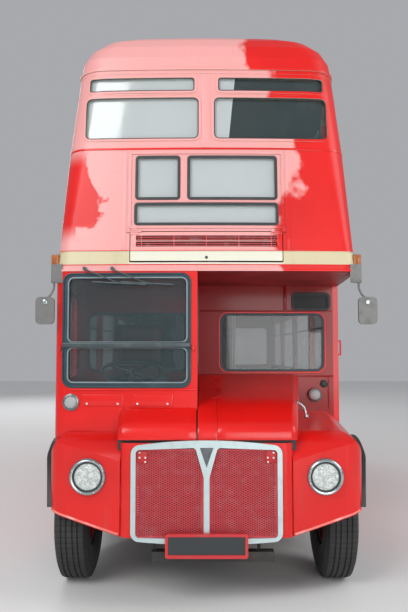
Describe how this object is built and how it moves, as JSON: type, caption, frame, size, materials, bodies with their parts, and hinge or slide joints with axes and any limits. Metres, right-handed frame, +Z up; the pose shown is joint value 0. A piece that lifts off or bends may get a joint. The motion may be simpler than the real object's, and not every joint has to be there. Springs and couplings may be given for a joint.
{
  "type": "half-cab double decker bus",
  "caption": "Half-cab double decker bus with an open rear platform, steered front wheels, twin rear wheels, opening bonnet, cab door and emergency window.",
  "frame": {"origin": "centre of the footprint, on the road", "axes": "+Z up, -Y towards the front of the bus, +X towards its nearside (kerb side)"},
  "size_m": [2.55, 8.382, 4.381],
  "materials": {
    "red_paint": "bright red gloss coach paint, faded and chipped in places",
    "black_paint": "black chassis paint, dusty",
    "grey_paint": "grey satin paint",
    "bright_trim": "pale anodised aluminium",
    "mesh_red": "red painted expanded metal",
    "plate_red": "red frame with a blank black face",
    "rubber": "dark rubber",
    "tyre": "black tyre, dusty",
    "wheel_red": "red wheel paint",
    "window_glass": "clear window glass",
    "lamp_glass": "fluted lamp glass in a bright rim",
    "floor_slats": "brown slatted floor",
    "lining": "dark red lining panels",
    "moquette": "dark red woven cloth",
    "seat_tube": "grey tube frames",
    "handrail_white": "white covered rail",
    "cast": "oily cast iron",
    "dark_plastic": "black moulding",
    "blind_white": "pale blank blinds"
  },
  "bodies": {
    "body": {"bonnet_fixed": "red_paint", "cab_floor": "grey_paint", "cab_front": "red_paint", "cab_inner_wall": "red_paint", "cab_side": "red_paint", "deck_floor": "lining", "destination_box": "blind_white", "engine": "cast", "front_axle": "cast", "front_bulkhead": "red_paint", "front_cowl": "red_paint", "front_wings": "red_paint", "fuel_tank": "black_paint", "glazing": "window_glass", "grille_frame": "bright_trim", "grille_mesh": "mesh_red", "handrails": "handrail_white", "headlamps": "lamp_glass", "lower_rear": "red_paint", "lower_side_near": "red_paint", "lower_side_off": "red_paint", "mirrors": "bright_trim", "number_plate_box": "plate_red", "platform": "floor_slats", "radiator": "black_paint", "rear_axle": "cast", "roof": "red_paint", "saloon_floor": "floor_slats", "saloon_partition": "lining", "seat_cushions": "moquette", "seat_frames": "seat_tube", "small_lamps": "lamp_glass", "staircase": "lining", "steering_column": "dark_plastic", "transmission": "cast", "underframe": "black_paint", "upper_front": "red_paint", "upper_rear": "red_paint", "upper_side_near": "red_paint", "upper_side_off": "red_paint", "windscreen_frame": "rubber", "wing_flares": "rubber", "wipers": "dark_plastic"},
    "steering_wheel": {"steering_wheel": "dark_plastic"},
    "cab_door": {"cab_door": "red_paint", "cab_door_glass": "window_glass"},
    "bonnet": {"bonnet": "red_paint"},
    "intake_flap": {"intake_flap": "red_paint"},
    "emergency_window": {"emergency_window": "red_paint", "emergency_glass": "window_glass"},
    "knuckle_near": {"knuckle_near": "cast"},
    "knuckle_off": {"knuckle_off": "cast"},
    "wheel_front_near": {"tyre_front_near": "tyre", "rim_front_near": "wheel_red"},
    "wheel_front_off": {"tyre_front_off": "tyre", "rim_front_off": "wheel_red"},
    "wheel_rear_near": {"tyres_rear_near": "tyre", "rims_rear_near": "wheel_red"},
    "wheel_rear_off": {"tyres_rear_off": "tyre", "rims_rear_off": "wheel_red"}
  },
  "joints": [
    {"name": "steer_near", "type": "hinge", "parent": "body", "child": "knuckle_near", "pos_m": [0.808, -3.378, 0.505], "axis": [0, 0, 1], "range_deg": [-40, 40]},
    {"name": "spin_front_near", "type": "hinge", "parent": "knuckle_near", "child": "wheel_front_near", "pos_m": [1.008, -3.378, 0.505], "axis": [1, 0, 0], "continuous": true},
    {"name": "spin_rear_near", "type": "hinge", "parent": "body", "child": "wheel_rear_near", "pos_m": [0.905, 1.753, 0.505], "axis": [1, 0, 0], "continuous": true},
    {"name": "steer_off", "type": "hinge", "parent": "body", "child": "knuckle_off", "pos_m": [-0.808, -3.378, 0.505], "axis": [0, 0, 1], "range_deg": [-40, 40]},
    {"name": "spin_front_off", "type": "hinge", "parent": "knuckle_off", "child": "wheel_front_off", "pos_m": [-1.008, -3.378, 0.505], "axis": [1, 0, 0], "continuous": true},
    {"name": "spin_rear_off", "type": "hinge", "parent": "body", "child": "wheel_rear_off", "pos_m": [-0.905, 1.753, 0.505], "axis": [1, 0, 0], "continuous": true},
    {"name": "steering_turn", "type": "hinge", "parent": "body", "child": "steering_wheel", "pos_m": [-0.6, -3.466, 1.64], "axis": [0, 0.3667, 0.9303], "range_deg": [-720, 720]},
    {"name": "cab_door_hinge", "type": "hinge", "parent": "body", "child": "cab_door", "pos_m": [-1.17629, -3.358, 1.7], "axis": [0, 0, 1], "range_deg": [0, 75]},
    {"name": "bonnet_hinge", "type": "hinge", "parent": "body", "child": "bonnet", "pos_m": [0.077, -3.631, 1.43768], "axis": [0, -0.9888, -0.1493], "range_deg": [0, 70]},
    {"name": "intake_flap_hinge", "type": "hinge", "parent": "body", "child": "intake_flap", "pos_m": [0, -3.867, 2.686], "axis": [-1, 0, 0], "range_deg": [0, 80]},
    {"name": "emergency_window_hinge", "type": "hinge", "parent": "body", "child": "emergency_window", "pos_m": [-0.557, 4.13314, 3.63], "axis": [0, -0.0736, 0.9973], "range_deg": [0, 85]}
  ],
  "couplings": [
    {"joint": "steer_off", "follows": "steer_near", "ratio": 1},
    {"joint": "steering_turn", "follows": "steer_near", "ratio": 18}
  ]
}
